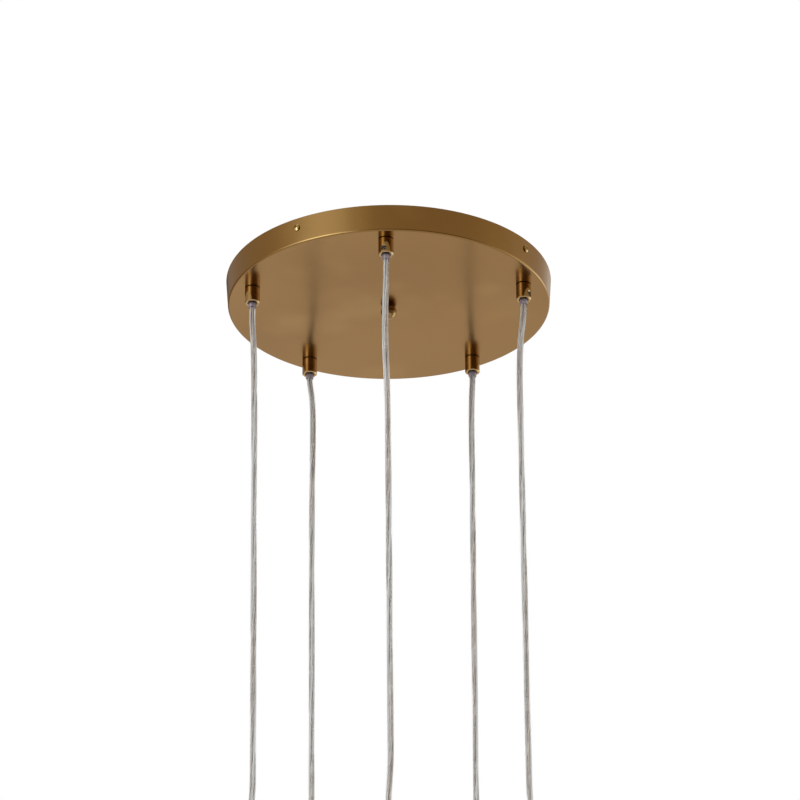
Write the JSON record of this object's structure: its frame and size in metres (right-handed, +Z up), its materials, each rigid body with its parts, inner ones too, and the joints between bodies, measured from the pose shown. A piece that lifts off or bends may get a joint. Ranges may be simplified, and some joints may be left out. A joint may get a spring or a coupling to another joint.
{
  "type": "cluster pendant light",
  "caption": "Round brass ceiling canopy with clear cords hanging from turned cord grips on a circle, each ending in a lampholder.",
  "frame": {"origin": "centre of the ceiling plane, at the middle of the bracket's four screw holes", "axes": "+Z up into the ceiling, the pendants hang in -Z, and the side that faces the camera is -Y"},
  "size_m": [0.35, 0.35, 0.7293],
  "materials": {
    "canopy_brass": "satin, lightly brushed antique brass",
    "polished_brass": "turned and polished antique brass",
    "brass_screw": "brass-plated screw head",
    "zinc_steel": "zinc-plated steel",
    "dark_steel": "blackened steel",
    "white_plastic": "white moulded nylon",
    "natural_nylon": "natural nylon",
    "earth_insulation": "green and yellow insulation, tinned tag",
    "clear_nylon": "translucent nylon",
    "clear_cord": "clear sheath over tinned twisted cores",
    "black_moulding": "black phenolic moulding",
    "nickel_shell": "nickel-plated",
    "spring_brass": "spring brass"
  },
  "bodies": {
    "root": {"canopy": "canopy_brass", "ceiling_bracket": "zinc_steel", "rim_screws": "brass_screw", "centre_stud": "zinc_steel", "stud_nut": "zinc_steel", "grip_lock_nuts": "zinc_steel", "grip_washers": "zinc_steel", "terminal_box_base": "white_plastic", "terminal_box_cover": "white_plastic", "terminal_block": "natural_nylon", "terminal_clamp_screws": "zinc_steel", "bracket_screws": "zinc_steel", "earth_lead": "earth_insulation", "grip_sleeve_1": "polished_brass", "grip_sleeve_2": "polished_brass", "grip_sleeve_3": "polished_brass", "grip_sleeve_4": "polished_brass", "grip_sleeve_5": "polished_brass", "inner_lead_1": "clear_cord", "inner_lead_2": "clear_cord", "inner_lead_3": "clear_cord", "inner_lead_4": "clear_cord", "inner_lead_5": "clear_cord"},
    "ball_nut": {"ball_nut": "polished_brass"},
    "bush_1": {"grip_bush_1": "clear_nylon"},
    "cord_1": {"cord_1": "clear_cord"},
    "lampholder_1": {"holder_cap_1": "polished_brass", "holder_core_1": "black_moulding", "holder_shell_1": "nickel_shell", "holder_contact_1": "spring_brass"},
    "grub_1": {"grub_screw_1": "dark_steel"},
    "bush_2": {"grip_bush_2": "clear_nylon"},
    "cord_2": {"cord_2": "clear_cord"},
    "lampholder_2": {"holder_cap_2": "polished_brass", "holder_core_2": "black_moulding", "holder_shell_2": "nickel_shell", "holder_contact_2": "spring_brass"},
    "grub_2": {"grub_screw_2": "dark_steel"},
    "bush_3": {"grip_bush_3": "clear_nylon"},
    "cord_3": {"cord_3": "clear_cord"},
    "lampholder_3": {"holder_cap_3": "polished_brass", "holder_core_3": "black_moulding", "holder_shell_3": "nickel_shell", "holder_contact_3": "spring_brass"},
    "grub_3": {"grub_screw_3": "dark_steel"},
    "bush_4": {"grip_bush_4": "clear_nylon"},
    "cord_4": {"cord_4": "clear_cord"},
    "lampholder_4": {"holder_cap_4": "polished_brass", "holder_core_4": "black_moulding", "holder_shell_4": "nickel_shell", "holder_contact_4": "spring_brass"},
    "grub_4": {"grub_screw_4": "dark_steel"},
    "bush_5": {"grip_bush_5": "clear_nylon"},
    "cord_5": {"cord_5": "clear_cord"},
    "lampholder_5": {"holder_cap_5": "polished_brass", "holder_core_5": "black_moulding", "holder_shell_5": "nickel_shell", "holder_contact_5": "spring_brass"},
    "grub_5": {"grub_screw_5": "dark_steel"}
  },
  "joints": [
    {"name": "swing_back_1", "type": "hinge", "parent": "root", "child": "bush_1", "pos_m": [0, -0.152, -0.045], "axis": [1, 0, 0], "range_deg": [-6, 6]},
    {"name": "swing_side_1", "type": "hinge", "parent": "bush_1", "child": "cord_1", "pos_m": [0, -0.152, -0.0495], "axis": [0, 1, 0], "range_deg": [-6, 6]},
    {"name": "drop_1", "type": "slide", "parent": "cord_1", "child": "lampholder_1", "axis": [0, 0, 1], "range_m": [0, 0.3], "deforming": ["cord_1"]},
    {"name": "swing_back_2", "type": "hinge", "parent": "root", "child": "bush_2", "pos_m": [0.14456, -0.04697, -0.045], "axis": [1, 0, 0], "range_deg": [-6, 6]},
    {"name": "swing_side_2", "type": "hinge", "parent": "bush_2", "child": "cord_2", "pos_m": [0.14456, -0.04697, -0.0495], "axis": [0, 1, 0], "range_deg": [-6, 6]},
    {"name": "drop_2", "type": "slide", "parent": "cord_2", "child": "lampholder_2", "axis": [0, 0, 1], "range_m": [0, 0.3], "deforming": ["cord_2"]},
    {"name": "swing_back_3", "type": "hinge", "parent": "root", "child": "bush_3", "pos_m": [0.08934, 0.12297, -0.045], "axis": [1, 0, 0], "range_deg": [-6, 6]},
    {"name": "swing_side_3", "type": "hinge", "parent": "bush_3", "child": "cord_3", "pos_m": [0.08934, 0.12297, -0.0495], "axis": [0, 1, 0], "range_deg": [-6, 6]},
    {"name": "drop_3", "type": "slide", "parent": "cord_3", "child": "lampholder_3", "axis": [0, 0, 1], "range_m": [0, 0.3], "deforming": ["cord_3"]},
    {"name": "swing_back_4", "type": "hinge", "parent": "root", "child": "bush_4", "pos_m": [-0.08934, 0.12297, -0.045], "axis": [1, 0, 0], "range_deg": [-6, 6]},
    {"name": "swing_side_4", "type": "hinge", "parent": "bush_4", "child": "cord_4", "pos_m": [-0.08934, 0.12297, -0.0495], "axis": [0, 1, 0], "range_deg": [-6, 6]},
    {"name": "drop_4", "type": "slide", "parent": "cord_4", "child": "lampholder_4", "axis": [0, 0, 1], "range_m": [0, 0.3], "deforming": ["cord_4"]},
    {"name": "swing_back_5", "type": "hinge", "parent": "root", "child": "bush_5", "pos_m": [-0.14456, -0.04697, -0.045], "axis": [1, 0, 0], "range_deg": [-6, 6]},
    {"name": "swing_side_5", "type": "hinge", "parent": "bush_5", "child": "cord_5", "pos_m": [-0.14456, -0.04697, -0.0495], "axis": [0, 1, 0], "range_deg": [-6, 6]},
    {"name": "drop_5", "type": "slide", "parent": "cord_5", "child": "lampholder_5", "axis": [0, 0, 1], "range_m": [0, 0.3], "deforming": ["cord_5"]},
    {"name": "grub_turn_1", "type": "hinge", "parent": "root", "child": "grub_1", "pos_m": [-0.00247, -0.15961, -0.0415], "axis": [-0.309, -0.9511, 0], "range_deg": [0, 450]},
    {"name": "grub_turn_2", "type": "hinge", "parent": "root", "child": "grub_2", "pos_m": [0.15103, -0.05167, -0.0415], "axis": [0.809, -0.5878, 0], "range_deg": [0, 450]},
    {"name": "grub_turn_3", "type": "hinge", "parent": "root", "child": "grub_3", "pos_m": [0.09581, 0.12767, -0.0415], "axis": [0.809, 0.5878, 0], "range_deg": [0, 450]},
    {"name": "grub_turn_4", "type": "hinge", "parent": "root", "child": "grub_4", "pos_m": [-0.09181, 0.13058, -0.0415], "axis": [-0.309, 0.9511, 0], "range_deg": [0, 450]},
    {"name": "grub_turn_5", "type": "hinge", "parent": "root", "child": "grub_5", "pos_m": [-0.15256, -0.04697, -0.0415], "axis": [-1, 0, 0], "range_deg": [0, 450]},
    {"name": "ball_nut_turn", "type": "hinge", "parent": "root", "child": "ball_nut", "pos_m": [0, 0, -0.029], "axis": [0, 0, -1], "range_deg": [0, 450]}
  ]
}
